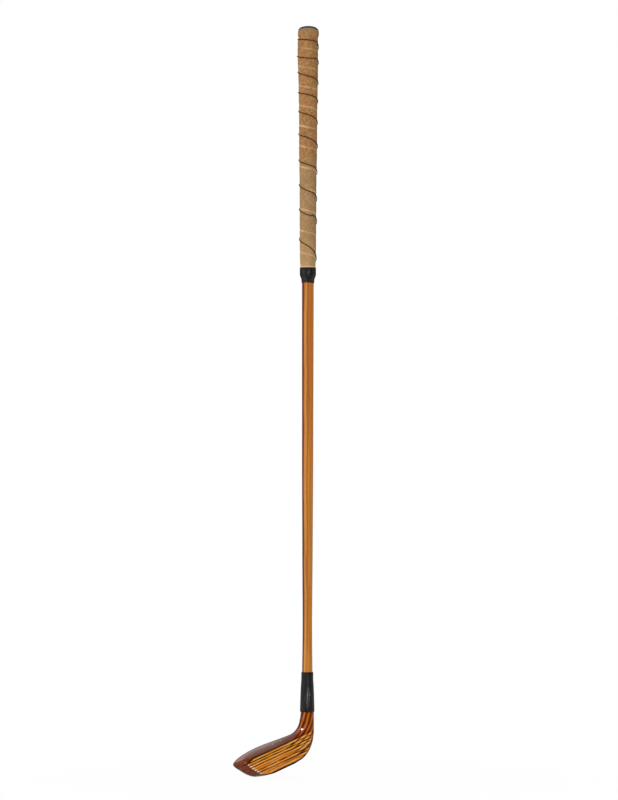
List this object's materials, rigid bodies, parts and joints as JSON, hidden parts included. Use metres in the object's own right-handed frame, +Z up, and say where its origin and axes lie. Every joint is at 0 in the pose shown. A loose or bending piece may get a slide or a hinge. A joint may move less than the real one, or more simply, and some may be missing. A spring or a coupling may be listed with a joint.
{
  "type": "golf putter",
  "caption": "Golf putter with a carved wooden head, bent neck and scored flat face on a long tapered wooden shaft, with a spiral leather grip wound with thread.",
  "frame": {"origin": "on the shaft's axis at the middle of the upper hand's hold, 140 mm below the top of the butt", "axes": "+Z up the shaft toward the butt, -X toward the toe of the head, -Y the way the face looks"},
  "size_m": [0.1002, 0.0535, 0.8873],
  "materials": {
    "head_wood": "stained and varnished, bare and oiled on the face",
    "slip_horn": "polished dark horn or fibre",
    "peg_wood": "bare end grain",
    "weight_lead": "dull filed lead",
    "shaft_wood": "varnished",
    "sleeve_thread": "waxed black thread, closely wound",
    "listing_cloth": "plain cloth",
    "grip_leather": "suede",
    "grip_thread": "dark waxed thread",
    "band_tape": "black tape",
    "cap_leather": "suede",
    "disc_dark": "dark hard disc",
    "tack_brass": "aged"
  },
  "bodies": {
    "root": {"head_block": "head_wood", "sole_slip": "slip_horn", "slip_peg_1": "peg_wood", "slip_peg_2": "peg_wood", "slip_peg_3": "peg_wood", "back_weight": "weight_lead", "shaft": "shaft_wood", "neck_sleeve": "sleeve_thread", "grip_underlisting": "listing_cloth", "leather_strip": "grip_leather", "grip_thread": "grip_thread", "grip_band": "band_tape", "leather_cap": "cap_leather", "cap_disc": "disc_dark", "cap_tack": "tack_brass"}
  },
  "joints": []
}
